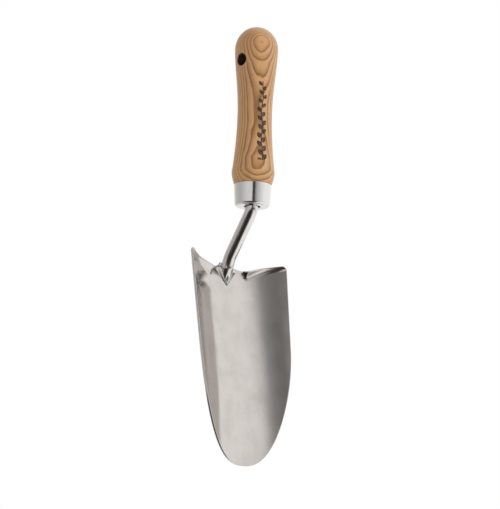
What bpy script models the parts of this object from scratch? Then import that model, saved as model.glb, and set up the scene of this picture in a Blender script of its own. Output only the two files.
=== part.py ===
"""Hand transplanter: turned ash handle, drawn ferrule, cranked neck and pressed stainless blade.

The tool stands upright on its tip, handle up along +Z, with the hollow face of its blade
towards -Y.  The origin is under the middle of its box, at the level of the tip.
Lengths are in metres; MM turns millimetres into metres.
"""
import math

import bmesh
import bpy
import numpy as np
from mathutils import Vector

MM = 0.001

# Gap that two touching pieces keep between their meshes.
GAP = 0.3 * MM

# Blade: a sheet rolled into a trough.  Its length runs from the trough's datum to the tip.
BLADE_LENGTH = 155.4 * MM
BLADE_HALF_WIDTH = 44.3 * MM
BLADE_THICKNESS = 1.6 * MM
BLADE_LEAN = math.radians(10.9)
TROUGH_DEPTH = 19.5 * MM
# Share of the depth that the fourth-power term gives, which flattens the trough's floor.
TROUGH_FLATNESS = 0.1
SIDE_TAPER = 0.034
# The toe is half a superellipse: these powers set how late and how bluntly it closes.
TOE_LENGTH = 88.0 * MM
TOE_LATENESS = 1.9
TOE_BLUNTNESS = 2.55
TIP_CUT = 0.15 * MM
# How far behind the handle's axis the trough's floor lies at the datum.
TROUGH_SETBACK = 31.5 * MM

# Shoulders: the top edge is turned forward as a lip on each side of a central tongue.
SHOULDER_DROP = 6.4 * MM
SHOULDER_SWEEP = 6.9 * MM
TONGUE_HALF_WIDTH = 3.4 * MM
TONGUE_HEIGHT = 13.5 * MM
TONGUE_FOOT = 12.8 * MM
LIP_CORNER = 3.2 * MM
LIP_INNER_REACH = 8.5 * MM
LIP_OUTER_REACH = 3.4 * MM
LIP_TURN = math.radians(60)
LIP_BEND_RADIUS = 3.2 * MM
# Least length of the turned edge, so that no row of the sheet closes up.
EDGE_MARGIN = 0.5 * MM

# Neck: a round bar, cranked back from the handle and half-lapped onto the blade.
NECK_RADIUS = 4.8 * MM
NECK_CRANK = math.radians(37.8)
NECK_BEND_RADIUS = 12.0 * MM
CRANK_BELOW_FERRULE = 2.0 * MM
TANG_LENGTH = 58.0 * MM
FOOT_LENGTH = 8.3 * MM
FOOT_POINT_RADIUS = 0.8 * MM

# Ferrule: a drawn cup with a round hole in its end.
FERRULE_TOP_RADIUS = 13.95 * MM
FERRULE_END_RADIUS = 13.1 * MM
FERRULE_LENGTH = 16.6 * MM
FERRULE_WALL = 1.0 * MM
FERRULE_HOLE_RADIUS = 6.2 * MM
FERRULE_ROUNDING = 1.8 * MM

# Handle: turned ash with a waist, a domed butt, a hang hole and a bore for the tang.
HANDLE_LENGTH = 121.8 * MM
BUTT_DOME = 17.4 * MM
UPPER_BULGE_RADIUS = 16.25 * MM
WAIST_RADIUS = 12.95 * MM
WAIST_FROM_FERRULE = 55.0 * MM
LOWER_BULGE_RADIUS = 16.05 * MM
LOWER_BULGE_FROM_FERRULE = 9.4 * MM
HANG_HOLE_RADIUS = 4.5 * MM
HANG_HOLE_FROM_TOP = 28.0 * MM
HANG_HOLE_TURN = math.radians(5)
TANG_BORE_RADIUS = 6.0 * MM
TANG_BORE_DEPTH = 62.0 * MM

# Weld bead round the neck's foot.
BEAD_RADIUS = 1.1 * MM

# Facets round each turned piece.
ROUND_STEPS = 28
BAR_STEPS = 14

# Heights above the tip that follow from the blade.
DATUM_Z = (BLADE_LENGTH - TIP_CUT) * math.cos(BLADE_LEAN) + BLADE_THICKNESS * math.sin(BLADE_LEAN)
FERRULE_END_Z = DATUM_Z + 39.4 * MM
FERRULE_TOP_Z = FERRULE_END_Z + FERRULE_LENGTH
HANDLE_TOP_Z = FERRULE_TOP_Z + HANDLE_LENGTH

# The blade's own axes: down along the trough, and forward out of its hollow face.
DOWN = Vector((0, -math.sin(BLADE_LEAN), -math.cos(BLADE_LEAN)))
FORWARD = Vector((0, -math.cos(BLADE_LEAN), math.sin(BLADE_LEAN)))
DATUM = Vector((0, TROUGH_SETBACK, DATUM_Z))

# The tongue's top edge at the back is the rearmost point of the tool.
TONGUE_TOP = DATUM - DOWN * (TONGUE_HEIGHT - SHOULDER_DROP) - FORWARD * BLADE_THICKNESS
REAR_Y = TONGUE_TOP.y
AXIS_Y = (UPPER_BULGE_RADIUS - REAR_Y) / 2


def clear_scene():
    for old in list(bpy.data.objects):
        bpy.data.objects.remove(old, do_unlink=True)


def material(name, colour, roughness, metallic):
    made = bpy.data.materials.new(name)
    made.use_nodes = True
    shader = made.node_tree.nodes["Principled BSDF"]
    shader.inputs["Base Color"].default_value = (*colour, 1)
    shader.inputs["Roughness"].default_value = roughness
    shader.inputs["Metallic"].default_value = metallic
    return made


def add_object(name, mesh, parent, finish):
    piece = bpy.data.objects.new(name, mesh)
    bpy.context.collection.objects.link(piece)
    piece.parent = parent
    mesh.materials.append(finish)
    return piece


def shade_round(mesh, angle=35):
    mesh.shade_smooth()
    mesh.set_sharp_from_angle(angle=math.radians(angle))


def turned(name, profile, parent, finish, steps=ROUND_STEPS):
    """A piece turned about Z: its outline of (radius, height) points goes down the outer side."""
    mesh = bpy.data.meshes.new(name)
    points = [(radius, 0, height) for radius, height in profile]
    closed = profile[0][0] > 0
    edges = [(i, i + 1) for i in range(len(points) - 1)]
    if closed:
        edges.append((len(points) - 1, 0))
    mesh.from_pydata(points, edges, [])
    piece = add_object(name, mesh, parent, finish)
    screw = piece.modifiers.new("turn", "SCREW")
    screw.axis = "Z"
    screw.steps = steps
    screw.render_steps = steps
    screw.use_merge_vertices = True
    screw.merge_threshold = 0.00001
    screw.use_normal_calculate = False
    return piece


def bake_modifiers(piece):
    """Put the piece's evaluated shape into its mesh, with its seams merged and its faces smooth."""
    graph = bpy.context.evaluated_depsgraph_get()
    mesh = bpy.data.meshes.new_from_object(piece.evaluated_get(graph))
    piece.modifiers.clear()
    piece.data = mesh
    work = bmesh.new()
    work.from_mesh(mesh)
    bmesh.ops.remove_doubles(work, verts=work.verts, dist=0.00001)
    bmesh.ops.recalc_face_normals(work, faces=work.faces)
    work.to_mesh(mesh)
    work.free()
    shade_round(mesh)


def dome_outline(count):
    """The butt: a quarter ellipse from the pole down to the upper bulge."""
    outline = []
    for i in range(count):
        angle = math.pi / 2 * i / count
        radius = UPPER_BULGE_RADIUS * math.sin(angle)
        outline.append((radius, HANDLE_TOP_Z - BUTT_DOME * (1 - math.cos(angle))))
    return outline


def grip_outline(count):
    """From the upper bulge down to the waist: half a cosine wave, a little hollow at its foot."""
    top = HANDLE_TOP_Z - BUTT_DOME
    waist = FERRULE_TOP_Z + WAIST_FROM_FERRULE
    outline = []
    for i in range(count):
        share = i / count
        swell = 0.5 + 0.5 * math.cos(math.pi * share ** 0.85)
        radius = WAIST_RADIUS + (UPPER_BULGE_RADIUS - WAIST_RADIUS) * swell
        outline.append((radius, top + (waist - top) * share))
    return outline


def palm_outline(count):
    """From the waist down to the lower bulge, swelling with its square, then in to the ferrule."""
    waist = FERRULE_TOP_Z + WAIST_FROM_FERRULE
    bulge = FERRULE_TOP_Z + LOWER_BULGE_FROM_FERRULE
    outline = []
    for i in range(count):
        share = i / count
        radius = WAIST_RADIUS + (LOWER_BULGE_RADIUS - WAIST_RADIUS) * share ** 2
        outline.append((radius, waist + (bulge - waist) * share))
    for share in (0, 0.25, 0.5, 0.75):
        radius = LOWER_BULGE_RADIUS - (LOWER_BULGE_RADIUS - FERRULE_TOP_RADIUS) * share ** 1.5
        outline.append((radius, bulge - LOWER_BULGE_FROM_FERRULE * share))
    return outline


def spigot_outline():
    """The stepped end that the ferrule takes, and the bore for the tang, up to its blind end."""
    seat = FERRULE_TOP_Z + GAP
    spigot_top = FERRULE_TOP_RADIUS - FERRULE_WALL - GAP
    spigot_end = FERRULE_END_RADIUS - FERRULE_WALL - GAP
    end = FERRULE_END_Z + FERRULE_ROUNDING + GAP
    return [
        (FERRULE_TOP_RADIUS, seat),
        (spigot_top, seat),
        (spigot_end, end + 1.0 * MM),
        (spigot_end - 1.0 * MM, end),
        (TANG_BORE_RADIUS, end),
        (TANG_BORE_RADIUS, end + TANG_BORE_DEPTH),
        (0, end + TANG_BORE_DEPTH + 2.0 * MM),
    ]


def make_handle(parent):
    ash = material("ash", (0.56, 0.36, 0.18), 0.45, 0)
    profile = dome_outline(8) + grip_outline(8) + palm_outline(8) + spigot_outline()
    handle = turned("handle", profile, parent, ash)
    drill = bpy.data.meshes.new("hang_hole_drill")
    work = bmesh.new()
    bmesh.ops.create_cone(
        work, cap_ends=True, segments=20, radius1=HANG_HOLE_RADIUS,
        radius2=HANG_HOLE_RADIUS, depth=4 * UPPER_BULGE_RADIUS)
    work.to_mesh(drill)
    work.free()
    cutter = bpy.data.objects.new("hang_hole_drill", drill)
    bpy.context.collection.objects.link(cutter)
    cutter.parent = parent
    cutter.location = (0, 0, HANDLE_TOP_Z - HANG_HOLE_FROM_TOP)
    cutter.rotation_euler = (0, math.pi / 2, HANG_HOLE_TURN)
    cutter.hide_render = True
    cutter.display_type = "WIRE"
    cut = handle.modifiers.new("hang_hole", "BOOLEAN")
    cut.operation = "DIFFERENCE"
    cut.solver = "EXACT"
    cut.object = cutter
    bpy.context.view_layer.update()
    bake_modifiers(handle)
    bpy.data.objects.remove(cutter, do_unlink=True)


def make_ferrule(parent):
    steel = material("ferrule_steel", (0.78, 0.77, 0.75), 0.18, 1)
    end = FERRULE_END_Z
    profile = [(FERRULE_TOP_RADIUS, FERRULE_TOP_Z)]
    for i in range(5):
        angle = math.pi / 2 * i / 4
        radius = FERRULE_END_RADIUS - FERRULE_ROUNDING * (1 - math.cos(angle))
        profile.append((radius, end + FERRULE_ROUNDING * (1 - math.sin(angle))))
    profile += [
        (FERRULE_HOLE_RADIUS, end),
        (FERRULE_HOLE_RADIUS, end + FERRULE_WALL),
        (FERRULE_END_RADIUS - FERRULE_ROUNDING, end + FERRULE_WALL),
        (FERRULE_END_RADIUS - FERRULE_WALL, end + FERRULE_ROUNDING),
        (FERRULE_TOP_RADIUS - FERRULE_WALL, FERRULE_TOP_Z),
    ]
    ferrule = turned("ferrule", profile, parent, steel)
    bpy.context.view_layer.update()
    bake_modifiers(ferrule)


def make_tang_resin(parent):
    """Resin that fills the bore round the tang: a sleeve, open at both ends."""
    resin = material("resin", (0.55, 0.42, 0.22), 0.35, 0)
    bottom = FERRULE_END_Z + FERRULE_ROUNDING + GAP + 2.0 * MM
    top = FERRULE_END_Z + TANG_LENGTH - 2.0 * MM
    outer = TANG_BORE_RADIUS - GAP
    inner = NECK_RADIUS + GAP
    profile = [(outer, top), (outer, bottom), (inner, bottom), (inner, top)]
    sleeve = turned("tang_resin", profile, parent, resin, BAR_STEPS)
    bpy.context.view_layer.update()
    bake_modifiers(sleeve)


def blade_point(x, along, above):
    """A point of the blade: x across, along down the trough from the datum, above its floor."""
    return DATUM + Vector((x, 0, 0)) + DOWN * along + FORWARD * above


def trough_rise(x):
    """How far the hollow face has risen from the floor at x: a square and a fourth power."""
    share = x / BLADE_HALF_WIDTH
    return TROUGH_DEPTH * ((1 - TROUGH_FLATNESS) * share ** 2 + TROUGH_FLATNESS * share ** 4)


def half_width(along):
    """Half the blade's width: sides that taper slightly, closed by half a superellipse."""
    side = BLADE_HALF_WIDTH - SIDE_TAPER * max(along, 0)
    toe = (along - (BLADE_LENGTH - TOE_LENGTH)) / TOE_LENGTH
    closing = max(1 - max(toe, 0) ** TOE_LATENESS, 0)
    return side * closing ** (1 / TOE_BLUNTNESS)


def shoulder_start(x):
    """Where the plain trough ends below the shoulder, higher towards the corners."""
    share = max(abs(x) - TONGUE_FOOT, 0) / (BLADE_HALF_WIDTH - TONGUE_FOOT)
    return SHOULDER_DROP - SHOULDER_SWEEP * share ** 1.5


def tongue_rise(x):
    """How far the sheet runs on above the shoulder's line: up to the tongue, down a hollow flare."""
    flare = max(1 - max(abs(x) - TONGUE_HALF_WIDTH, 0) / (TONGUE_FOOT - TONGUE_HALF_WIDTH), 0)
    return TONGUE_HEIGHT * flare ** 2.2


def lip_reach(x):
    """Length of the lip: nothing at the tongue's foot, a round corner, then a taper outwards."""
    outwards = max(abs(x) - TONGUE_FOOT, 0) / (BLADE_HALF_WIDTH - TONGUE_FOOT)
    corner = min(max(abs(x) - TONGUE_FOOT, 0) / LIP_CORNER, 1)
    reach = LIP_INNER_REACH + (LIP_OUTER_REACH - LIP_INNER_REACH) * min(outwards, 1)
    return reach * math.sqrt(1 - (1 - corner) ** 2)


def shoulder_offset(x, share):
    """The turned top edge at x: how far up and how far forward a share of its length has gone."""
    if abs(x) < TONGUE_FOOT:
        return (tongue_rise(x) + EDGE_MARGIN) * share, 0
    gone = (lip_reach(x) + EDGE_MARGIN) * share
    angle = min(gone / LIP_BEND_RADIUS, LIP_TURN)
    straight = gone - angle * LIP_BEND_RADIUS
    up = LIP_BEND_RADIUS * math.sin(angle) + straight * math.cos(angle)
    out = LIP_BEND_RADIUS * (1 - math.cos(angle)) + straight * math.sin(angle)
    return up, out


def column_places():
    """Places of the columns over half of the blade's width, close together at the lip's corner."""
    tongue = np.linspace(0, TONGUE_FOOT, 8)[:-1]
    corner = TONGUE_FOOT + LIP_CORNER * (1 - np.cos(np.linspace(0, math.pi / 2, 5)))[:-1]
    lip = np.linspace(TONGUE_FOOT + LIP_CORNER, half_width(-SHOULDER_SWEEP), 10)
    half = np.concatenate([tongue, corner, lip]) / half_width(-SHOULDER_SWEEP)
    return np.concatenate([-half[:0:-1], half])


def blade_rows(columns, shoulder_rows, trough_rows):
    """The hollow face as rows of points, from the top edge down to the tip."""
    rows = []
    top_width = half_width(-SHOULDER_SWEEP)
    for i in range(shoulder_rows, 0, -1):
        row = []
        for place in columns:
            x = place * top_width
            up, out = shoulder_offset(x, i / shoulder_rows)
            row.append(blade_point(x, shoulder_start(x) - up, trough_rise(x) + out))
        rows.append(row)
    for i in range(trough_rows + 1):
        share = math.sin(math.pi / 2 * i / trough_rows)
        row = []
        for place in columns:
            start = shoulder_start(place * top_width)
            along = start + (BLADE_LENGTH - TIP_CUT - start) * share
            x = place * half_width(along)
            row.append(blade_point(x, along, trough_rise(x)))
        rows.append(row)
    return np.array(rows)


def sheet_normals(grid):
    """Unit normals of a grid of points, out of the hollow face."""
    down = np.gradient(grid, axis=0)
    across = np.gradient(grid, axis=1)
    normals = np.cross(down, across)
    normals /= np.linalg.norm(normals, axis=2, keepdims=True)
    return normals


def make_blade(parent):
    steel = material("blade_steel", (0.62, 0.60, 0.57), 0.28, 1)
    front = blade_rows(column_places(), 5, 20)
    back = front - sheet_normals(front) * BLADE_THICKNESS
    rows, columns = front.shape[:2]
    points = np.concatenate([front.reshape(-1, 3), back.reshape(-1, 3)])
    index = np.arange(rows * columns).reshape(rows, columns)
    behind = index + rows * columns
    faces = []
    for i in range(rows - 1):
        for j in range(columns - 1):
            quad = (index[i, j], index[i + 1, j], index[i + 1, j + 1], index[i, j + 1])
            faces.append(quad)
            faces.append(tuple(behind.flat[k] for k in reversed(quad)))
    border = list(index[:, 0]) + list(index[-1, 1:]) + list(index[-2::-1, -1]) + list(index[0, -2:0:-1])
    shift = rows * columns
    for here, there in zip(border, border[1:] + border[:1]):
        faces.append((there, here, here + shift, there + shift))
    mesh = bpy.data.meshes.new("blade")
    mesh.from_pydata([tuple(p) for p in points], [], [tuple(int(k) for k in face) for face in faces])
    work = bmesh.new()
    work.from_mesh(mesh)
    bmesh.ops.recalc_face_normals(work, faces=work.faces)
    work.to_mesh(mesh)
    work.free()
    shade_round(mesh)
    add_object("blade", mesh, parent, steel)


def neck_path():
    """The bar's centre line as (point, radius): up the tang, round the crank, onto the blade."""
    corner_z = FERRULE_END_Z - CRANK_BELOW_FERRULE
    setback = NECK_BEND_RADIUS * math.tan(NECK_CRANK / 2)
    path = [(Vector((0, 0, FERRULE_END_Z + TANG_LENGTH)), NECK_RADIUS)]
    path.append((Vector((0, 0, corner_z + setback)), NECK_RADIUS))
    bend_centre = Vector((0, NECK_BEND_RADIUS, corner_z + setback))
    for i in range(1, 6):
        angle = NECK_CRANK * i / 5
        arm = Vector((0, -math.cos(angle), -math.sin(angle))) * NECK_BEND_RADIUS
        path.append((bend_centre + arm, NECK_RADIUS))
    slope = Vector((0, math.sin(NECK_CRANK), -math.cos(NECK_CRANK)))
    start = path[-1][0]
    # The bar meets the plane of the trough's floor, then follows it down to its point.
    reach = (start - DATUM).dot(FORWARD) / -slope.dot(FORWARD)
    meeting = start + slope * reach
    turn_back = NECK_CRANK + BLADE_LEAN
    trim = NECK_BEND_RADIUS * math.tan(turn_back / 2)
    path.append((start + slope * (reach - trim) / 2, NECK_RADIUS))
    lower_start = meeting - slope * trim
    lower_centre = lower_start + Vector((0, -math.cos(NECK_CRANK), -math.sin(NECK_CRANK))) * NECK_BEND_RADIUS
    for i in range(7):
        angle = NECK_CRANK - turn_back * i / 6
        arm = Vector((0, math.cos(angle), math.sin(angle))) * NECK_BEND_RADIUS
        path.append((lower_centre + arm, NECK_RADIUS))
    foot_start = path[-1][0]
    for share in (0.25, 0.5, 0.75, 1):
        radius = NECK_RADIUS + (FOOT_POINT_RADIUS - NECK_RADIUS) * share ** 1.2
        path.append((foot_start + DOWN * FOOT_LENGTH * share, radius))
    return path


def swept_bar(path, steps):
    """Rings of a round bar about a path in the YZ plane, closed at both ends, as a bmesh."""
    work = bmesh.new()
    rings = []
    for i, (centre, radius) in enumerate(path):
        before = path[max(i - 1, 0)][0]
        after = path[min(i + 1, len(path) - 1)][0]
        along = (after - before).normalized()
        side = Vector((1, 0, 0))
        out = along.cross(side)
        ring = []
        for k in range(steps):
            angle = 2 * math.pi * k / steps
            ring.append(work.verts.new(centre + (side * math.cos(angle) + out * math.sin(angle)) * radius))
        rings.append(ring)
    for upper, lower in zip(rings, rings[1:]):
        for k in range(steps):
            following = (k + 1) % steps
            work.faces.new((upper[k], upper[following], lower[following], lower[k]))
    work.faces.new(rings[0])
    work.faces.new(rings[-1])
    bmesh.ops.recalc_face_normals(work, faces=work.faces)
    return work


def make_neck(parent):
    steel = material("neck_steel", (0.70, 0.68, 0.65), 0.15, 1)
    work = swept_bar(neck_path(), BAR_STEPS)
    # The lap: what would lie behind the hollow face is cut away, leaving a flat.
    lap = DATUM + FORWARD * (GAP + trough_rise(NECK_RADIUS))
    cut = bmesh.ops.bisect_plane(
        work, geom=work.verts[:] + work.edges[:] + work.faces[:], dist=0.000001,
        plane_co=lap, plane_no=-FORWARD, clear_outer=True)
    edges = [item for item in cut["geom_cut"] if isinstance(item, bmesh.types.BMEdge)]
    bmesh.ops.holes_fill(work, edges=edges)
    bmesh.ops.remove_doubles(work, verts=work.verts, dist=0.00002)
    bmesh.ops.recalc_face_normals(work, faces=work.faces)
    mesh = bpy.data.meshes.new("neck")
    work.to_mesh(mesh)
    work.free()
    shade_round(mesh)
    add_object("neck", mesh, parent, steel)


def make_neck_weld(parent):
    """The polished bead: a thin round run down one side of the foot, round its point and back up."""
    steel = material("weld_steel", (0.66, 0.64, 0.61), 0.25, 1)
    foot = neck_path()[-5:]
    clear = BEAD_RADIUS + 2 * GAP
    side = []
    for centre, radius in foot:
        along = (centre - DATUM).dot(DOWN)
        x = radius + clear
        side.append(blade_point(x, along, trough_rise(x) + clear))
    tip = blade_point(0, (foot[-1][0] - DATUM).dot(DOWN) + FOOT_POINT_RADIUS + clear, clear)
    mirror = [Vector((-p.x, p.y, p.z)) for p in reversed(side)]
    curve = bpy.data.curves.new("neck_weld", "CURVE")
    curve.dimensions = "3D"
    curve.bevel_depth = BEAD_RADIUS
    curve.bevel_resolution = 2
    curve.use_fill_caps = True
    run = side + [tip] + mirror
    spline = curve.splines.new("POLY")
    spline.points.add(len(run) - 1)
    for point, place in zip(spline.points, run):
        point.co = (*place, 1)
    bead = bpy.data.objects.new("neck_weld", curve)
    bpy.context.collection.objects.link(bead)
    bead.parent = parent
    curve.materials.append(steel)


clear_scene()
transplanter = bpy.data.objects.new("transplanter", None)
bpy.context.collection.objects.link(transplanter)
transplanter.location = (0, AXIS_Y, 0)
make_handle(transplanter)
make_ferrule(transplanter)
make_tang_resin(transplanter)
make_neck(transplanter)
make_blade(transplanter)
make_neck_weld(transplanter)
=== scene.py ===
import math

import bmesh
import bpy
import numpy as np
from mathutils import Matrix, Vector


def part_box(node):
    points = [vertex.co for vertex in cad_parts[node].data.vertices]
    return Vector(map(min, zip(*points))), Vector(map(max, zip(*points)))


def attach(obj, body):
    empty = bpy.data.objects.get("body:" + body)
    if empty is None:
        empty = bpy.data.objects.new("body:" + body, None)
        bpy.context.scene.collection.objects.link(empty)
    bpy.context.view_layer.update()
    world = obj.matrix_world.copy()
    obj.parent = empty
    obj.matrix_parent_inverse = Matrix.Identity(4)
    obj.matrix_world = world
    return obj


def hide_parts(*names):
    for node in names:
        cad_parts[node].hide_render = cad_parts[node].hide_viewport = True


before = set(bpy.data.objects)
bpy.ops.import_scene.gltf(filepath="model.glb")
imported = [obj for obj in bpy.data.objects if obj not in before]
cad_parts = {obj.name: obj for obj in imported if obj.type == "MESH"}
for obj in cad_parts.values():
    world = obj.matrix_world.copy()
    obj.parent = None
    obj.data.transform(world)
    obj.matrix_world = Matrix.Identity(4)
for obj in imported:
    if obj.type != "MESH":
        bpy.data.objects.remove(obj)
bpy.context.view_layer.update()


# ---- Handle ------------------------------------------------------------------------------
# Ash, turned between centres to a waist and a domed butt, bored for the tang and cross-drilled
# to hang, then sanded and oiled.  A leaf sprig is burnt into its front.

MM = 0.001
handle_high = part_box("handle")[1]
ferrule_low, ferrule_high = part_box("ferrule")
AXIS_Y = (ferrule_low.y + ferrule_high.y) / 2
HANDLE_TOP = handle_high.z
HANDLE_SEAT = ferrule_high.z + 0.1 * MM
BUTT_DOME = 17.4 * MM
UPPER_BULGE = 16.25 * MM
WAIST = 12.95 * MM
WAIST_UP = 55.0 * MM
LOWER_BULGE = 16.05 * MM
LOWER_BULGE_UP = 9.4 * MM
SEAT_RADIUS = 13.95 * MM
SPIGOT_RADIUS = 12.6 * MM
BORE_RADIUS = 6.0 * MM
BORE_TOP = ferrule_low.z + 64.0 * MM
HOLE_RADIUS = 4.5 * MM
HOLE_RIM = 0.9 * MM
HOLE_Z = HANDLE_TOP - 28.0 * MM
HOLE_TURN = math.radians(5)


def handle_radius(z):
    """Turned outline: quarter ellipse, half cosine to the waist, square to the bulge, eased end."""
    bulge_z = HANDLE_TOP - BUTT_DOME
    waist_z = ferrule_high.z + WAIST_UP
    lower_z = ferrule_high.z + LOWER_BULGE_UP
    dome = UPPER_BULGE * np.sqrt(np.clip(1 - ((z - bulge_z) / BUTT_DOME) ** 2, 0, 1))
    down = np.clip((bulge_z - z) / (bulge_z - waist_z), 0, 1)
    grip = WAIST + (UPPER_BULGE - WAIST) * (0.5 + 0.5 * np.cos(math.pi * down ** 0.85))
    palm = WAIST + (LOWER_BULGE - WAIST) * np.clip((waist_z - z) / (waist_z - lower_z), 0, 1) ** 2
    end = np.clip((lower_z - z) / LOWER_BULGE_UP, 0, 1)
    toe = LOWER_BULGE - (LOWER_BULGE - SEAT_RADIUS) * end ** 1.5
    return np.where(z > bulge_z, dome, np.where(z > waist_z, grip, np.where(z > lower_z, palm, toe)))


def quads(index, wrap=False):
    """The four-cornered faces of a grid of point numbers, closed round its columns if wrapped."""
    if wrap:
        index = np.concatenate([index, index[:, :1]], axis=1)
    corners = [index[:-1, :-1], index[1:, :-1], index[1:, 1:], index[:-1, 1:]]
    return np.stack(corners, axis=-1).reshape(-1, 4)


def add_piece(name, points, faces, finish, creases=180):
    """A mesh of points and faces as one smooth object, with its doubles merged and faces out."""
    mesh = bpy.data.meshes.new(name)
    mesh.from_pydata(points.reshape(-1, 3).tolist(), [], faces.tolist())
    work = bmesh.new()
    work.from_mesh(mesh)
    bmesh.ops.remove_doubles(work, verts=work.verts, dist=0.000004)
    bmesh.ops.recalc_face_normals(work, faces=work.faces)
    work.to_mesh(mesh)
    work.free()
    mesh.shade_smooth()
    mesh.set_sharp_from_angle(angle=math.radians(creases))
    mesh.materials.append(finish.material)
    piece = bpy.data.objects.new(name, mesh)
    bpy.context.scene.collection.objects.link(piece)
    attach(piece, "root")
    return piece


def turned_points(radius, z, turns, start=0.0):
    """An outline of radius against height carried round the handle's axis: r cos t, r sin t, z."""
    angle = start + 2 * math.pi * np.arange(turns) / turns
    x = radius[:, None] * np.cos(angle)
    y = AXIS_Y + radius[:, None] * np.sin(angle)
    return np.stack([x, y, np.broadcast_to(z[:, None], x.shape)], axis=-1)


class Wire:
    """One output of a node.  Sums on wires and numbers add their Math nodes to the same tree."""

    def __init__(self, nodes, socket):
        self.nodes = nodes
        self.socket = socket

    def math(self, operation, *others):
        return self.nodes.add("Math", {"operation": operation}, dict(enumerate((self, *others))))

    def __add__(self, other):
        return self.math("ADD", other)

    __radd__ = __add__

    def __sub__(self, other):
        return self.math("SUBTRACT", other)

    def __rsub__(self, other):
        return self.nodes.add("Math", {"operation": "SUBTRACT"}, {0: other, 1: self})

    def __mul__(self, other):
        return self.math("MULTIPLY", other)

    __rmul__ = __mul__

    def __truediv__(self, other):
        return self.math("DIVIDE", other)

    def __pow__(self, other):
        return self.math("POWER", other)

    def __abs__(self):
        return self.math("ABSOLUTE")

    def __mod__(self, other):
        return self.math("FLOORED_MODULO", other)

    def __gt__(self, other):
        return self.math("GREATER_THAN", other)

    def most(self, other):
        return self.math("MAXIMUM", other)

    def ease(self, low, high):
        """0 below low, 1 above high and a smooth step between."""
        sockets = {"Value": self, "From Min": low, "From Max": high}
        return self.nodes.add("MapRange", {"interpolation_type": "SMOOTHSTEP"}, sockets)


class Nodes:
    """A node tree.  add() takes a node's kind, its settings and its sockets' values or wires."""

    def __init__(self, owner):
        owner.use_nodes = True
        self.tree = owner.node_tree
        self.material = owner

    def add(self, kind, settings, sockets, out=0):
        node = self.tree.nodes.new("ShaderNode" + kind)
        for key, value in settings.items():
            if key == "stops":
                ramp = node.color_ramp
                ramp.elements.remove(ramp.elements[1])
                ramp.elements[0].position = value[0][0]
                for place, _ in value[1:]:
                    ramp.elements.new(place)
                for element, (_, colour) in zip(ramp.elements, value):
                    element.color = (*colour, 1)
            else:
                setattr(node, key, value)
        for key, value in sockets.items():
            self.put(node.inputs[key], value)
        return Wire(self, node.outputs[out])

    def put(self, socket, value):
        if isinstance(value, Wire):
            self.tree.links.new(value.socket, socket)
        else:
            socket.default_value = value

    def shader(self, **values):
        """Sets the Principled shader's own sockets, an underscore standing for a space."""
        shader = self.tree.nodes["Principled BSDF"]
        for key, value in values.items():
            self.put(shader.inputs[key.replace("_", " ")], value)

    def place(self, middle=(0, 0, 0)):
        """Object coordinates in millimetres from a middle, as three wires."""
        node = self.tree.nodes.new("ShaderNodeTexCoord")
        split = self.tree.nodes.new("ShaderNodeSeparateXYZ")
        self.tree.links.new(node.outputs["Object"], split.inputs[0])
        return [(Wire(self, split.outputs[i]) - middle[i]) * 1000 for i in range(3)]

    def noise(self, x, y, z, detail=2.0, rough=0.5):
        """Cloud noise from 0 to 1 at a point given by three wires."""
        point = self.add("CombineXYZ", {}, {0: x, 1: y, 2: z})
        return self.add("TexNoise", {}, {"Vector": point, "Scale": 1, "Detail": detail, "Roughness": rough})

    def blend(self, factor, first, second):
        settings = {"data_type": "RGBA", "blend_type": "MIX", "clamp_factor": True}
        return self.add("Mix", settings, {0: factor, 6: first, 7: second}, out=2)

    def bump(self, height, depth):
        """A bump whose height of 1 stands a depth in metres proud."""
        return self.add("Bump", {}, {"Height": height, "Distance": depth, "Strength": 1})


def tone(red, green, blue):
    """A colour given in display bytes, as linear light."""
    share = np.array([red, green, blue]) / 255
    return tuple(np.where(share > 0.04045, ((share + 0.055) / 1.055) ** 2.4, share / 12.92).tolist())


# The grain: growth rings lie as nearly flat sheets across the billet, square to RING_FACING.
RING_FACING = math.radians(-24)
RING_PITCH = 1.5
SPRIG_FACING = math.radians(-13)
SPRIG_LOW = 0.2245
SPRIG_LENGTH = 61.0
LEAF_PITCH = 6.6
LEAF_TILT = math.radians(36)


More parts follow.
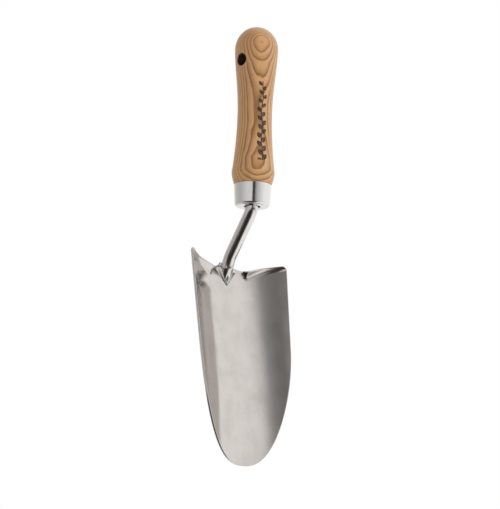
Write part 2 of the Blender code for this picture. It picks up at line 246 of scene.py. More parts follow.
def ash_finish():
    """Ring depth = facing distance + a bow in z + noise; its fraction picks the ring's colour."""
    ash = Nodes(bpy.data.materials.new("oiled_ash"))
    x, y, z = ash.place((0, AXIS_Y, 0))
    facing = math.sin(RING_FACING) * x - math.cos(RING_FACING) * y
    sideways = math.cos(RING_FACING) * x + math.sin(RING_FACING) * y
    share = (facing.most(0) / 14) ** 2
    bow = share * (0.12 * (z - 300).most(0) - 0.15 * (227 - z).most(0))
    drift = ash.noise(x * 0.05, y * 0.05, z * 0.022, 2) - 0.5
    tremble = ash.noise(x * 0.35, y * 0.35, z * 0.09, 2) - 0.5
    depth = facing + bow + 2.4 * drift + 0.35 * tremble + 0.012 * sideways * sideways
    depth = depth + 1.3 * ash.noise(facing * 0.35, facing * 0.1, z * 0.004, 1)
    ring = (depth / RING_PITCH) % 1
    wood = ash.add("ValToRGB", {"stops": [
        (0.00, tone(120, 76, 36)), (0.08, tone(142, 94, 50)), (0.24, tone(200, 146, 90)),
        (0.55, tone(230, 176, 120)), (0.86, tone(238, 186, 130)), (0.96, tone(208, 154, 98)),
        (1.00, tone(122, 78, 38))]}, {"Fac": ring})
    fibre = ash.noise(x * 3.2, y * 3.2, z * 0.10, 3, 0.6)
    pore = ash.noise(x * 5.0, y * 5.0, z * 0.22, 1)
    early = 1 - ring.ease(0.10, 0.55)
    pores = pore.ease(0.60, 0.72) * (0.25 + 0.75 * early)
    wood = ash.blend(fibre.ease(0.30, 0.75) * 0.45, wood, (*tone(176, 126, 76), 1))
    wood = ash.blend(pores * 0.55, wood, (*tone(96, 62, 34), 1))
    cloud = ash.noise(x * 0.09, y * 0.09, z * 0.03, 1)
    wood = ash.blend(cloud.ease(0.35, 0.75) * 0.30, wood, (*tone(228, 170, 108), 1))
    # Painted shade: the wood is darkened down one side of the billet, its edge wavered by the drift noise.
    painted_side_shade = (3.0 * drift - sideways).ease(1.0, 9.0)
    wood = ash.blend(painted_side_shade * 0.34, wood, (*tone(118, 76, 38), 1))

    # The sprig: a waved stem with leaves by turns left and right, smaller towards the top.
    across = math.cos(SPRIG_FACING) * x + math.sin(SPRIG_FACING) * y
    outward = math.sin(SPRIG_FACING) * x - math.cos(SPRIG_FACING) * y
    up = z - SPRIG_LOW * 1000
    across = across - 0.5 * (up * (2 * math.pi / 22)).math("SINE")
    left = 1 - (across > 0)
    leaf_up = (up + left * (LEAF_PITCH / 2)) % LEAF_PITCH - LEAF_PITCH * 0.5
    leaf_out = abs(across) - 1.9
    small = 1 - 0.35 * (up / SPRIG_LENGTH)
    length = (leaf_out * math.sin(LEAF_TILT) + leaf_up * math.cos(LEAF_TILT)) / small
    width = (leaf_out * math.cos(LEAF_TILT) - leaf_up * math.sin(LEAF_TILT)) / small
    swell = 1.8 * (1 - (length / 3.1) ** 2 - 0.12 * length)
    leaf = (swell - abs(width)).ease(-0.08, 0.16) * (0.6 + 0.4 * abs(width).ease(0.04, 0.14))
    leaf = leaf * (abs(length) * -1).ease(-3.2, -2.9)
    stem = (0.42 - abs(across)).ease(-0.1, 0.12)
    within = up.ease(0, 0.6) * (1 - up.ease(SPRIG_LENGTH - 0.6, SPRIG_LENGTH)) * outward.ease(1, 2)
    burnt = leaf.most(stem) * within
    uneven = ash.noise(x * 0.9, y * 0.9, z * 0.9, 2).ease(0.25, 0.6)
    wood = ash.blend(burnt * (0.72 + 0.28 * uneven), wood, (*tone(44, 28, 17), 1))

    # Painted shade: the wood round the inside of the drilled hole is painted near black.
    offset = x * -math.sin(HOLE_TURN) + y * math.cos(HOLE_TURN)
    rise = z - HOLE_Z * 1000
    from_hole = (offset * offset + rise * rise) ** 0.5
    painted_bore_shade = 1 - from_hole.ease(4.35, 5.15)
    wood = ash.blend(painted_bore_shade, wood, (*tone(30, 20, 13), 1))

    rough = 0.42 + 0.16 * pores + 0.10 * burnt + 0.06 * fibre
    relief = 0.5 * ring.ease(0, 0.3) - 1.2 * pores - 2.6 * burnt + 0.3 * fibre
    ash.shader(Base_Color=wood, Roughness=rough, Normal=ash.bump(relief, 0.00005))
    ash.shader(Coat_Weight=0.25 - 0.2 * burnt)
    ash.shader(Coat_Roughness=0.28, Coat_IOR=1.45)
    return ash


def handle_mesh():
    """The turned outline on a grid of turns, with two square windows that close in to the hole."""
    turns = 192
    dome = HANDLE_TOP - BUTT_DOME * (1 - np.cos(np.linspace(0, math.pi / 2, 44)[:-1]))
    body = np.linspace(HANDLE_TOP - BUTT_DOME, HANDLE_SEAT, 190)
    inside = np.array([
        [SPIGOT_RADIUS, HANDLE_SEAT], [SPIGOT_RADIUS - 0.5 * MM, ferrule_low.z + 3.0 * MM],
        [SPIGOT_RADIUS - 1.2 * MM, ferrule_low.z + 2.2 * MM], [BORE_RADIUS, ferrule_low.z + 2.2 * MM],
        [BORE_RADIUS, BORE_TOP], [0, BORE_TOP + 2 * MM]])
    z = np.concatenate([dome, body, inside[:, 1]])
    radius = np.concatenate([handle_radius(np.concatenate([dome, body])), inside[:, 0]])
    points = turned_points(radius, z, turns, HOLE_TURN)
    index = np.arange(len(z) * turns).reshape(len(z), turns)

    rows = np.flatnonzero(np.abs(z - HOLE_Z) < 7.0 * MM)
    reach = 13
    row_low, row_high = rows[0], rows[-1]
    keep = np.ones((len(z) - 1, turns), bool)
    window = np.concatenate([np.arange(-reach, reach) % turns, np.arange(-reach, reach) + turns // 2])
    keep[row_low:row_high, window] = False
    faces = [quads(index, wrap=True)[keep.reshape(-1)]]

    def window_edge(columns):
        sides = [index[row_low, columns[:-1]], index[row_low:row_high, columns[-1]],
                 index[row_high, columns[:0:-1]], index[row_high:row_low:-1, columns[0]]]
        return np.concatenate(sides)

    steps = np.arange(-reach, reach + 1)
    near = window_edge(steps % turns)
    far = window_edge(turns // 2 - steps)
    drill = np.array([math.cos(HOLE_TURN), math.sin(HOLE_TURN), 0])
    cross = np.array([-math.sin(HOLE_TURN), math.cos(HOLE_TURN), 0])
    edge = points.reshape(-1, 3)[near] - [0, AXIS_Y, HOLE_Z]
    edge_flat = np.stack([edge @ cross, edge[:, 2]], axis=-1)
    turn = np.arctan2(edge_flat[:, 1], edge_flat[:, 0])
    ring_flat = np.stack([np.cos(turn), np.sin(turn)], axis=-1)
    share = np.linspace(0, 1, 7)[1:, None, None]
    closing = edge_flat + (ring_flat * (HOLE_RADIUS + HOLE_RIM) - edge_flat) * share
    round_in = np.linspace(0, math.pi / 2, 8)[1:, None, None]
    lip = ring_flat * (HOLE_RADIUS + HOLE_RIM * (1 - np.sin(round_in)))
    flat = np.concatenate([closing, lip])
    sunk = np.concatenate([np.zeros(6), HOLE_RIM * (1 - np.cos(round_in.ravel()))])[:, None]
    out = np.sqrt(handle_radius(HOLE_Z + flat[..., 1]) ** 2 - flat[..., 0] ** 2) - sunk

    def mouth(side):
        return (drill * (side * out)[..., None] + cross * flat[..., :1]
                + [0, 0, 1] * flat[..., 1:] + [0, AXIS_Y, HOLE_Z])

    near_rings = mouth(1)
    far_rings = mouth(-1)
    through = np.linspace(0, 1, 12)[1:-1, None, None]
    tube = near_rings[-1] + (far_rings[-1] - near_rings[-1]) * through
    rings = np.concatenate([near_rings, tube, far_rings[::-1]])
    ring_index = points.shape[0] * points.shape[1] + np.arange(rings[..., 0].size).reshape(rings.shape[:2])
    chain = np.concatenate([near[None], ring_index, far[None]])
    faces.append(quads(chain, wrap=True))
    return np.concatenate([points.reshape(-1, 3), rings.reshape(-1, 3)]), np.concatenate(faces)


ash = ash_finish()
handle = add_piece("turned_handle", *handle_mesh(), ash, creases=50)
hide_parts("handle")


# ---- Ferrule -----------------------------------------------------------------------------
# A cup drawn from stainless strip, its end punched for the neck, polished on the lathe and
# pressed over the handle's spigot.

FERRULE_WALL = 1.0 * MM
FERRULE_END_RADIUS = 13.1 * MM
FERRULE_ROUNDING = 2.0 * MM
FERRULE_HOLE = 6.2 * MM


def round_corner(middle_radius, middle_z, rounding, start, stop, count=12):
    """An arc of an outline about a middle, from one angle to another in degrees."""
    angle = np.radians(np.linspace(start, stop, count))
    return np.stack([middle_radius + rounding * np.cos(angle), middle_z + rounding * np.sin(angle)], axis=-1)


def ferrule_outline():
    """Closed outline: rolled rim, straight taper, rounded end corner, punched edge, inner wall."""
    low, high = ferrule_low.z, ferrule_high.z
    rim = round_corner(SEAT_RADIUS - 0.35 * MM, high - 0.35 * MM, 0.35 * MM, 90, 0, 6)
    flat_edge = FERRULE_END_RADIUS - FERRULE_ROUNDING
    wall_end = [FERRULE_END_RADIUS + 0.05 * MM, low + 2.6 * MM]
    wall = np.linspace([SEAT_RADIUS, high - 0.7 * MM], wall_end, 10)
    corner = round_corner(flat_edge, low + FERRULE_ROUNDING, FERRULE_ROUNDING, 0, -90)
    face = np.linspace([flat_edge - 0.4 * MM, low], [FERRULE_HOLE + 0.8 * MM, low], 4)
    punched = round_corner(FERRULE_HOLE + 0.4 * MM, low + 0.4 * MM, 0.4 * MM, -90, -180, 6)
    inner_radius = FERRULE_END_RADIUS - FERRULE_WALL
    inside = np.array([
        [FERRULE_HOLE, low + FERRULE_WALL], [inner_radius - 1 * MM, low + FERRULE_WALL],
        [inner_radius, low + 2 * MM], [SEAT_RADIUS - FERRULE_WALL, high]])
    return np.concatenate([rim, wall, corner, face, punched, inside])


def ferrule_finish():
    """Bright stainless: fine turned lines in z, a slow wave and a few hairline handling marks."""
    steel = Nodes(bpy.data.materials.new("polished_ferrule_steel"))
    x, y, z = steel.place((0, AXIS_Y, 0))
    lines = steel.noise(x * 0.12, y * 0.12, z * 9.0, 3, 0.6)
    wave = steel.noise(x * 0.12, y * 0.12, z * 0.12, 1)
    marks = steel.noise(x * 0.8, y * 0.8, z * 2.5, 4, 0.65)
    tint = steel.blend(marks.ease(0.45, 0.75) * 0.5, (0.64, 0.63, 0.615, 1), (0.56, 0.545, 0.525, 1))
    height = lines * 0.30 + marks * 0.25 + wave * 9.0
    rough = 0.10 + 0.07 * lines + 0.10 * marks.ease(0.5, 0.8)
    steel.shader(Base_Color=tint, Metallic=1.0, Roughness=rough, Normal=steel.bump(height, 0.000012))
    return steel


outline = ferrule_outline()
ferrule_points = turned_points(outline[:, 0], outline[:, 1], 160)
ferrule_index = np.arange(len(outline) * 160).reshape(len(outline), 160)
ferrule_index = np.concatenate([ferrule_index, ferrule_index[:1]])
ferrule_steel = ferrule_finish()
ferrule_faces = quads(ferrule_index, wrap=True)
ferrule = add_piece("drawn_ferrule", ferrule_points, ferrule_faces, ferrule_steel, creases=60)
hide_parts("ferrule")


# ---- Resin -------------------------------------------------------------------------------
# Amber epoxy poured into the handle's bore, in which the tang is set.  Only its meniscus
# can be seen, deep in the ferrule's hole.


def resin_finish():
    """Amber resin clouded by fine bubbles."""
    resin = Nodes(bpy.data.materials.new("amber_resin"))
    x, y, z = resin.place()
    cloud = resin.noise(x * 0.5, y * 0.5, z * 0.5, 4)
    bubbles = resin.noise(x * 4, y * 4, z * 4, 2).ease(0.62, 0.72)
    colour = resin.blend(cloud.ease(0.3, 0.7), (0.24, 0.13, 0.04, 1), (0.36, 0.22, 0.08, 1))
    resin.shader(Base_Color=colour, Roughness=0.25 + 0.2 * bubbles, Normal=resin.bump(bubbles * -1, 0.0001))
    return resin


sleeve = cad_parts["tang_resin"]
sleeve.data.materials.clear()
sleeve.data.materials.append(resin_finish().material)


# ---- Neck --------------------------------------------------------------------------------
# One round stainless bar: a tang in the handle, a crank back below the ferrule, and a foot
# drawn out to a spear point that is lapped onto the blade's hollow face.

BLADE_LEAN = math.radians(10.9)
DOWN = np.array([0, -math.sin(BLADE_LEAN), -math.cos(BLADE_LEAN)])
FORWARD = np.array([0, -math.cos(BLADE_LEAN), math.sin(BLADE_LEAN)])
DATUM = np.array([0, AXIS_Y + 31.5 * MM, ferrule_low.z - 39.4 * MM])
BLADE_HALF_WIDTH = 44.3 * MM
TROUGH_DEPTH = 19.5 * MM
TROUGH_FLATNESS = 0.1
NECK_RADIUS = 4.8 * MM
NECK_CRANK = math.radians(37.8)
NECK_BEND = 16.0 * MM
FOOT_BEND = 28.0 * MM
CRANK_DROP = 2.0 * MM
TANG_LENGTH = 58.0 * MM
FOOT_START = 4.0 * MM
FOOT_END = 15.8 * MM
FOOT_POINT = 0.5 * MM


def trough_rise(x):
    """Height of the hollow face above its floor at x: a share of a square and of a fourth power."""
    share = x / BLADE_HALF_WIDTH
    return TROUGH_DEPTH * ((1 - TROUGH_FLATNESS) * share ** 2 + TROUGH_FLATNESS * share ** 4)


def on_blade(x, along, above):
    """Points from blade measures: across, down the trough from the datum, forward of its floor."""
    return (DATUM + np.multiply.outer(x, [1, 0, 0]) + np.multiply.outer(along, DOWN)
            + np.multiply.outer(above, FORWARD))


def arc(middle, radius, start, stop, count):
    """Points of a bend in the YZ plane about a middle, from one angle to another in radians."""
    angle = np.linspace(start, stop, count)
    return middle + radius * np.stack([0 * angle, np.cos(angle), np.sin(angle)], axis=-1)


def neck_line():
    """Straight tang, bend, straight, bend back, straight foot; spaced evenly along its length."""
    corner = np.array([0, AXIS_Y, ferrule_low.z - CRANK_DROP])
    setback = NECK_BEND * math.tan(NECK_CRANK / 2)
    first = corner + [0, NECK_BEND, setback]
    upper = arc(first, NECK_BEND, math.pi, math.pi + NECK_CRANK, 60)
    slope = np.array([0, math.sin(NECK_CRANK), -math.cos(NECK_CRANK)])
    reach = (upper[-1] - DATUM) @ FORWARD / -(slope @ FORWARD)
    meeting = upper[-1] + slope * reach
    back = NECK_CRANK + BLADE_LEAN
    trim = FOOT_BEND * math.tan(back / 2)
    second = meeting - slope * trim - FOOT_BEND * np.array([0, math.cos(NECK_CRANK), math.sin(NECK_CRANK)])
    lower = arc(second, FOOT_BEND, NECK_CRANK, NECK_CRANK - back, 60)
    top = [[0, AXIS_Y, ferrule_low.z + TANG_LENGTH]]
    foot_length = FOOT_END - (lower[-1] - DATUM) @ DOWN
    line = np.concatenate([top, upper, lower, [lower[-1] + DOWN * foot_length]])
    gone = np.concatenate([[0], np.cumsum(np.linalg.norm(np.diff(line, axis=0), axis=1))])
    foot_at = gone[-1] - foot_length
    even = np.concatenate([np.linspace(0, foot_at, 190)[:-1], np.linspace(foot_at, gone[-1], 40)])
    spaced = np.stack([np.interp(even, gone, line[:, i]) for i in range(3)], axis=-1)
    return spaced, np.clip(((spaced - DATUM) @ DOWN - FOOT_START) / (FOOT_END - FOOT_START), 0, 1)


def neck_mesh():
    """Circles about the line, thinned along the foot, pressed flat where they meet the blade."""
    line, foot = neck_line()
    tangent = np.gradient(line, axis=0)
    tangent /= np.linalg.norm(tangent, axis=1, keepdims=True)
    side = np.array([1.0, 0, 0])
    out = np.cross(tangent, side)
    angle = 2 * math.pi * np.arange(72) / 72
    wide = (NECK_RADIUS + (FOOT_POINT - NECK_RADIUS) * foot ** 1.5)[:, None] * np.cos(angle)
    high = (NECK_RADIUS + (1.1 * MM - NECK_RADIUS) * foot ** 0.9)[:, None] * np.sin(angle)
    points = line[:, None] + wide[..., None] * side + high[..., None] * out[:, None]
    offset = points - DATUM
    x = offset[..., 0]
    along = offset @ DOWN
    above = offset @ FORWARD
    # The punched dimple near the point of the foot.
    dimple = 1.5 * MM * np.exp(-(x / (1.3 * MM)) ** 2 - ((along - 11.6 * MM) / (2.1 * MM)) ** 2)
    above = above - dimple * (above > 0)
    lap = np.maximum(above, trough_rise(x) + 0.05 * MM)
    points = on_blade(x, along, lap)
    ends = np.stack([np.broadcast_to(points[0].mean(0), points[0].shape),
                     np.broadcast_to(points[-1].mean(0), points[-1].shape)])
    points = np.concatenate([ends[:1], points, ends[1:]])
    index = np.arange(points[..., 0].size).reshape(points.shape[:2])
    return points, quads(index, wrap=True)


def neck_finish():
    """Polished stainless: forging ripples left under the polish, and fine lines along the bar."""
    steel = Nodes(bpy.data.materials.new("polished_neck_steel"))
    x, y, z = steel.place()
    ripple = steel.noise(x * 0.16, y * 0.16, z * 0.09, 2)
    lines = steel.noise(x * 5, y * 1.2, z * 0.5, 3, 0.6)
    rough = 0.09 + 0.10 * lines
    tint = steel.blend(ripple.ease(0.3, 0.7) * 0.5, (0.61, 0.59, 0.57, 1), (0.53, 0.505, 0.48, 1))
    height = ripple * 14 + lines * 0.35
    steel.shader(Base_Color=tint, Metallic=1.0, Roughness=rough, Normal=steel.bump(height, 0.000014))
    return steel


neck_steel = neck_finish()
neck = add_piece("cranked_neck", *neck_mesh(), neck_steel, creases=70)
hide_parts("neck")


# ---- Blade -------------------------------------------------------------------------------
# Stainless sheet, blanked to a rounded toe and pressed into an even trough.  Its top edge is slit
# each side of a tongue for the neck and turned forward as a lip beyond; the steel is brushed.

BLADE_LENGTH = 155.4 * MM
BLADE_THICKNESS = 1.6 * MM
SIDE_TAPER = 0.034
TOE_LENGTH = 88.0 * MM
TOE_LATENESS = 1.9
TOE_BLUNTNESS = 2.55
TIP_CUT = 0.01 * MM
EDGE_ROUND = 0.5 * MM
SLIT_AT = 14.6 * MM
SLIT_GAP = 0.3 * MM
ROOT_OUTER = 5.1 * MM
ROOT_DROP = 9.0 * MM
ROOT_CORNER = 4.6 * MM
CORNER_WIDTH = 4.0 * MM
TONGUE_HALF_WIDTH = 1.5 * MM
TONGUE_FLARE_TOP = 3.9 * MM
TONGUE_RISE = 5.6 * MM
LIP_OUTER_REACH = 3.9 * MM
LIP_EXTRA_REACH = 5.9 * MM
LIP_TURN = math.radians(60)
LIP_BEND = 5.0 * MM
OUTER_CORNER = 2.0 * MM
LEFT_CORNER_RISE = 3.6 * MM
ROOT_FALL = 1.9
LIP_FALL = 1.8
FLARE_FALL = 1.7
RISE_LATENESS = 7


def half_width(along):
    """Sides that taper in a straight line, closed over the toe by half a superellipse."""
    side = BLADE_HALF_WIDTH - SIDE_TAPER * np.maximum(along, 0)
    toe = np.clip((along - (BLADE_LENGTH - TOE_LENGTH)) / (TOE_LENGTH - EDGE_ROUND), 0, 1)
    return (side - EDGE_ROUND) * (1 - toe ** TOE_LATENESS) ** (1 / TOE_BLUNTNESS)


def past_slit(x):
    """0 at the slit beside the tongue and 1 at the corner; then 1 at the slit, easing to 0."""
    outwards = np.clip((np.abs(x) - SLIT_AT) / (BLADE_HALF_WIDTH - SLIT_AT), 0, 1)
    corner = (1 - np.clip((np.abs(x) - SLIT_AT) / CORNER_WIDTH, 0, 1)) ** 2
    return outwards, corner


def root_line(x):
    """Where the lip's bend starts: low at the tongue by a power, drawn up at the left corner."""
    outwards, corner = past_slit(x)
    drawn_up = LEFT_CORNER_RISE * outwards ** RISE_LATENESS * (x < 0)
    return ROOT_OUTER + ROOT_DROP * (1 - outwards) ** ROOT_FALL - ROOT_CORNER * corner - drawn_up


def lip_reach(x):
    """Length of sheet turned forward at x, rounded off at the blade's corner."""
    outwards, corner = past_slit(x)
    reach = LIP_OUTER_REACH + LIP_EXTRA_REACH * (1 - outwards) ** LIP_FALL - ROOT_CORNER * corner
    end = np.clip((np.abs(x) - (BLADE_HALF_WIDTH - EDGE_ROUND - OUTER_CORNER)) / OUTER_CORNER, 0, 1)
    return (reach - EDGE_ROUND) * np.sqrt(1 - 0.98 * end ** 2)


def sheet(x, along, out, tilt):
    """Points and normals of the hollow face: out along the trough's own normal, which tilts down."""
    share = x / BLADE_HALF_WIDTH
    bend = 2 * (1 - TROUGH_FLATNESS) * share + 4 * TROUGH_FLATNESS * share ** 3
    slope = TROUGH_DEPTH / BLADE_HALF_WIDTH * bend
    lean = np.sqrt(1 + slope ** 2)
    points = on_blade(x - out * slope / lean, along, trough_rise(x) + out / lean)
    flat = np.multiply.outer(-slope / lean, [1, 0, 0]) + np.multiply.outer(1 / lean, FORWARD)
    normals = flat * np.cos(tilt)[..., None] + np.multiply.outer(np.sin(tilt), DOWN)
    return points, normals


def blade_parts():
    """Four grids of the hollow face, rows going down: trough, tongue, left lip and right lip.

    They share the row at root_line(x).  A lip's edge runs an arc of LIP_BEND to LIP_TURN, then
    straight; the tongue stays in the trough's surface and flares down to the slits.
    """
    top_width = half_width(np.array(0.0))
    eased = 1 - np.cos(np.linspace(0, math.pi / 2, 14))
    outer = np.concatenate([
        SLIT_AT + CORNER_WIDTH * eased[:-1],
        np.linspace(SLIT_AT + CORNER_WIDTH, top_width - OUTER_CORNER, 40)[:-1],
        top_width - OUTER_CORNER * eased[::-1]])
    inner = np.linspace(-SLIT_AT, SLIT_AT, 71)
    x_top = np.concatenate([-outer[:0:-1], inner, outer[1:]])
    place = x_top / top_width
    start = root_line(x_top)
    gone = np.sin(math.pi / 2 * np.linspace(0, 1, 150))[:, None]
    along = start + (BLADE_LENGTH - TIP_CUT - EDGE_ROUND - start) * gone
    x = place * half_width(along)
    trough = sheet(x, along, 0 * x, 0 * x)

    share = np.linspace(1, 0, 34)[:, None]
    count = len(outer) - 1
    x_tongue = x[0, count:-count]
    flare = np.clip(1 - (np.abs(x_tongue) - TONGUE_HALF_WIDTH) / (SLIT_AT - TONGUE_HALF_WIDTH), 0, 1)
    tongue_top = TONGUE_FLARE_TOP - TONGUE_RISE * flare ** FLARE_FALL
    tongue_along = start[count:-count] + (tongue_top - start[count:-count]) * share
    narrowed = x_tongue * (1 - share * SLIT_GAP / SLIT_AT)
    tongue = sheet(narrowed, tongue_along, 0 * narrowed, 0 * narrowed)

    def lip(columns):
        side = np.sign(x_top[columns])
        run = lip_reach(x_top[columns]) * share
        bent = np.minimum(run / LIP_BEND, LIP_TURN)
        straight = run - bent * LIP_BEND
        up = LIP_BEND * np.sin(bent) + straight * np.cos(bent)
        out = LIP_BEND * (1 - np.cos(bent)) + straight * np.sin(bent)
        clear = side * SLIT_GAP * share * (1 - past_slit(x_top[columns])[0]) ** 6
        return sheet(x[0, columns] + clear, start[columns] - up, out, bent)

    return trough, tongue, lip(slice(None, count + 1)), lip(slice(-count - 1, None))


def blade_mesh():
    """Each grid twice, one thickness apart, and one half-round edge run right round them."""
    half = BLADE_THICKNESS / 2
    parts = blade_parts()
    trough, tongue, left, right = [np.stack(part) for part in parts]
    loop = np.concatenate([
        left[:, :-1, 0], trough[:, :-1, 0], trough[:, -1, :-1], trough[:, :0:-1, -1],
        right[:, :0:-1, -1], right[:, 0, :0:-1], right[:, :, 0], tongue[:, -2:0:-1, -1],
        tongue[:, 0, :0:-1], tongue[:, :-1, 0], left[:, :0:-1, -1], left[:, 0, :0:-1]], axis=1)
    rim, rim_normal = loop
    rim = rim - rim_normal * half
    step = np.roll(rim, -1, axis=0) - np.roll(rim, 1, axis=0)
    outward = np.cross(step, rim_normal)
    outward /= np.linalg.norm(outward, axis=1, keepdims=True)
    turn = np.radians(np.linspace(90, -90, 9))[:, None, None]
    edge = rim + outward * EDGE_ROUND * np.cos(turn) ** 0.8 + rim_normal * half * np.sin(turn)
    points, faces, used = [], [], 0
    for grid, wrap in [(edge, True)] + [(f - n * back, False) for f, n in parts for back in (0, 2 * half)]:
        index = used + np.arange(grid[..., 0].size).reshape(grid.shape[:2])
        points.append(grid.reshape(-1, 3))
        faces.append(quads(index, wrap))
        used += index.size
    return np.concatenate(points), np.concatenate(faces)


def blade_finish():
    """Brushed stainless: streaks down the trough, slow press waves, smudges and a few scratches."""
    steel = Nodes(bpy.data.materials.new("brushed_blade_steel"))
    x, y, z = steel.place()
    streaks = steel.noise(x * 1.1, y * 0.2, z * 0.02, 3, 0.55)
    wave = steel.noise(x * 0.035, y * 0.02, z * 0.022, 1)
    smudge = steel.noise(x * 0.07, y * 0.07, z * 0.05, 3, 0.55)
    scratch = steel.noise(x * 2.5, y * 1.2, z * 0.08, 1).ease(0.66, 0.74)
    tint = steel.blend(smudge.ease(0.35, 0.7), (0.535, 0.503, 0.484, 1), (0.485, 0.453, 0.436, 1))
    tint = steel.blend(scratch * 0.35, tint, (0.40, 0.38, 0.36, 1))
    rough = 0.10 + 0.06 * streaks + 0.06 * smudge.ease(0.4, 0.8)
    height = streaks * 0.08 + wave * 40 - scratch * 0.08
    steel.shader(Base_Color=tint, Metallic=1.0, Roughness=rough, Normal=steel.bump(height, 0.000012))
    return steel


blade_steel = blade_finish()
blade = add_piece("pressed_blade", *blade_mesh(), blade_steel, creases=70)
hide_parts("blade")


# ---- Weld --------------------------------------------------------------------------------
# A bead of stainless run round the neck's foot and dressed back to a hollow fillet, so that
# the foot grows out of the blade in the shape of a kite.

# Least thickness inside the outline, so that the top never merges with the underside.
WELD_LEAST = 0.04 * MM


def weld_mesh():
    """A mound on the blade: kite outline, height falling from the middle with a hollow power."""
    along_marks = np.array([-1.2, 0.4, 2.5, 5.5, 9, 13, 16.9]) * MM
    along = np.linspace(along_marks[0], along_marks[-1], 90)[:, None]
    wide = np.interp(along, along_marks, np.array([5.0, 6.2, 8.6, 9.4, 6.6, 3.4, 0.3]) * MM)
    high = np.interp(along, along_marks, np.array([0.2, 1.8, 4.0, 4.6, 3.4, 1.8, 0.2]) * MM)
    ease = np.ones(9) / 9
    wide = np.convolve(np.pad(wide[:, 0], 4, "edge"), ease, "valid")[:, None]
    high = np.convolve(np.pad(high[:, 0], 4, "edge"), ease, "valid")[:, None]
    t = np.linspace(-1, 1, 61)[None]
    x = t * wide
    floor = trough_rise(x) + 0.03 * MM
    bead = 0.35 * MM * np.exp(-((np.abs(t) - 0.68) / 0.20) ** 2) * np.clip(high / (2 * MM), 0, 1)
    mound = high * (1 - np.abs(t)) ** 1.5 + (bead + WELD_LEAST) * (1 - t ** 8)
    top = on_blade(x, along + 0 * x, floor + mound)
    under = on_blade(x, along + 0 * x, floor)
    rows, columns = top.shape[:2]
    index = np.arange(rows * columns).reshape(rows, columns)
    ends = np.stack([index[[0, -1]], index[[0, -1]] + rows * columns], axis=1)
    faces = np.concatenate([quads(index), quads(index + rows * columns), quads(ends[0]), quads(ends[1])])
    return np.concatenate([top.reshape(-1, 3), under.reshape(-1, 3)]), faces


def weld_finish():
    """Dressed weld: faint ripples across the bead under a soft polish, a trace of straw tint."""
    steel = Nodes(bpy.data.materials.new("dressed_weld_steel"))
    x, y, z = steel.place()
    ripple = steel.noise(x * 0.5, y * 0.5, z * 1.1, 3, 0.55)
    tint = steel.blend(ripple.ease(0.4, 0.75), (0.58, 0.56, 0.54, 1), (0.49, 0.455, 0.42, 1))
    rough = 0.14 + 0.14 * ripple
    steel.shader(Base_Color=tint, Metallic=1.0, Roughness=rough, Normal=steel.bump(ripple, 0.00012))
    return steel


weld_steel = weld_finish()
weld = add_piece("neck_weld_fillet", *weld_mesh(), weld_steel)
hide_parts("neck_weld")


# ---- Studio ------------------------------------------------------------------------------
# A light tent, bright on the right and darker round the lens, in rings by height with a dark
# band below, over a plain pale floor.  The camera stands below the tool's middle, to its left.

FLOOR_Z = -0.35


def floor_finish():
    """Matt pale paper with a faint mottle."""
    paper = Nodes(bpy.data.materials.new("pale_floor"))
    x, y, z = paper.place()
    mottle = paper.noise(x * 0.004, y * 0.004, z, 3)
    colour = paper.blend(mottle, (0.86, 0.86, 0.855, 1), (0.90, 0.90, 0.895, 1))
    paper.shader(Base_Color=colour, Roughness=0.9)
    return paper


spread = np.linspace(-30, 30, 13)
floor_x, floor_y = np.meshgrid(spread, spread)
floor_points = np.stack([floor_x, floor_y, np.full_like(floor_x, FLOOR_Z)], axis=-1)
floor_mesh = bpy.data.meshes.new("studio_floor")
floor_faces = quads(np.arange(169).reshape(13, 13)[:, ::-1])
floor_mesh.from_pydata(floor_points.reshape(-1, 3).tolist(), [], floor_faces.tolist())
floor_mesh.materials.append(floor_finish().material)
floor = bpy.data.objects.new("studio_floor", floor_mesh)
bpy.context.scene.collection.objects.link(floor)
floor.visible_glossy = False


def grey(value):
    return (value, value * 0.995, value * 0.985)


def ring_of_light(tent, place, marks):
    """Brightness round the tent, from marks of azimuth in degrees and value."""
    stops = [((azimuth + 180) / 360, grey(value)) for azimuth, value in marks]
    return tent.add("ValToRGB", {"stops": stops}, {"Fac": place})


TENT_POWER = 1.32
world = bpy.data.worlds.new("light_tent")
bpy.context.scene.world = world
tent = Nodes(world)
coordinates = tent.tree.nodes.new("ShaderNodeTexCoord")
split = tent.tree.nodes.new("ShaderNodeSeparateXYZ")
tent.tree.links.new(coordinates.outputs["Generated"], split.inputs[0])
east, north, upward = (Wire(tent, split.outputs[i]) for i in range(3))
azimuth = east.math("ARCTAN2", north * -1) / (2 * math.pi) + 0.5
low_ring = ring_of_light(tent, azimuth, [
    (-180, 0.62), (-150, 0.50), (-120, 0.45), (-90, 0.58), (-72, 0.68), (-40, 0.70), (-38, 0.05),
    (-24, 0.05), (-18, 0.32), (-10, 0.44), (0, 0.56), (20, 0.76), (45, 0.94), (100, 0.95),
    (150, 0.75), (180, 0.62)])
high_ring = ring_of_light(tent, azimuth, [
    (-180, 0.62), (-120, 0.50), (-76, 0.66), (-64, 0.58), (-55, 0.24), (-46, 0.22), (-38, 0.20),
    (-28, 0.23), (-17, 0.33), (-8, 0.58), (0, 0.80), (8, 0.90), (20, 0.95), (45, 0.94),
    (100, 0.95), (150, 0.75), (180, 0.62)])
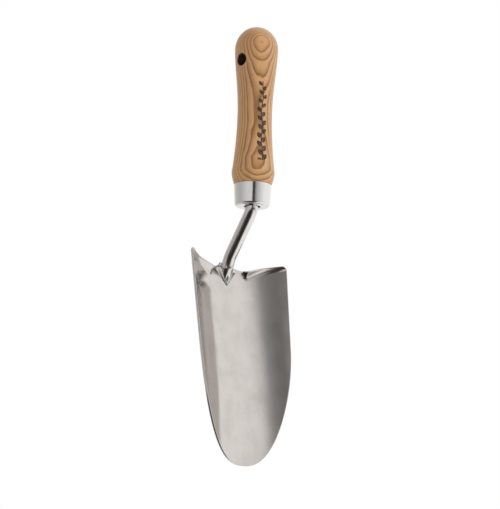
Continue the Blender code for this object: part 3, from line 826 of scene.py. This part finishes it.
under_ring = ring_of_light(tent, azimuth, [
    (-180, 0.62), (-125, 0.52), (-104, 0.34), (-88, 0.10), (-70, 0.02), (-40, 0.03), (-20, 0.05),
    (-4, 0.22), (12, 0.80), (30, 1.0), (100, 0.95), (150, 0.75), (180, 0.62)])
table_edge = ring_of_light(tent, azimuth, [
    (-180, 0.62), (-150, 0.40), (-110, 0.16), (-80, 0.07), (10, 0.07), (35, 0.45), (60, 0.90),
    (100, 0.95), (150, 0.75), (180, 0.62)])
room = tent.blend(upward.ease(0.31, 0.44), low_ring, high_ring)
room = tent.blend(upward.ease(-0.23, -0.18), table_edge, room)
room = tent.blend(upward.ease(-0.36, -0.30), under_ring, room)
straight = tent.add("LightPath", {}, {})
sight = tent.blend(straight, room, (1, 1, 1, 1))
background = tent.tree.nodes["Background"]
tent.put(background.inputs["Color"], sight)
tent.put(background.inputs["Strength"], TENT_POWER + (1 - TENT_POWER) * straight)

bpy.context.scene.view_settings.view_transform = "Standard"

CAMERA_AZIMUTH = math.radians(-37.72)
CAMERA_ELEVATION = math.radians(-11.43)
CAMERA_ROLL = math.radians(-1.631)
CAMERA_DISTANCE = 1.5751
AIM_HEIGHT = 0.1666
AIM_RIGHT = 0.00471
AIM_DOWN = 0.00902
back = Vector((
    math.sin(CAMERA_AZIMUTH) * math.cos(CAMERA_ELEVATION),
    -math.cos(CAMERA_AZIMUTH) * math.cos(CAMERA_ELEVATION),
    math.sin(CAMERA_ELEVATION)))
level = Vector((math.cos(CAMERA_AZIMUTH), math.sin(CAMERA_AZIMUTH), 0))
upright = back.cross(level)
right = level * math.cos(CAMERA_ROLL) - upright * math.sin(CAMERA_ROLL)
top = upright * math.cos(CAMERA_ROLL) + level * math.sin(CAMERA_ROLL)
aim = Vector((0, 0, AIM_HEIGHT)) + right * AIM_RIGHT - top * AIM_DOWN

lens = bpy.data.cameras.new("studio_camera")
lens.lens = 150
lens.sensor_width = 36
lens.sensor_fit = "AUTO"
camera = bpy.data.objects.new("studio_camera", lens)
bpy.context.scene.collection.objects.link(camera)
placed = aim + back * CAMERA_DISTANCE
turning = Matrix([right, top, back]).transposed()
camera.matrix_world = Matrix.Translation(placed) @ turning.to_4x4()
bpy.context.scene.camera = camera
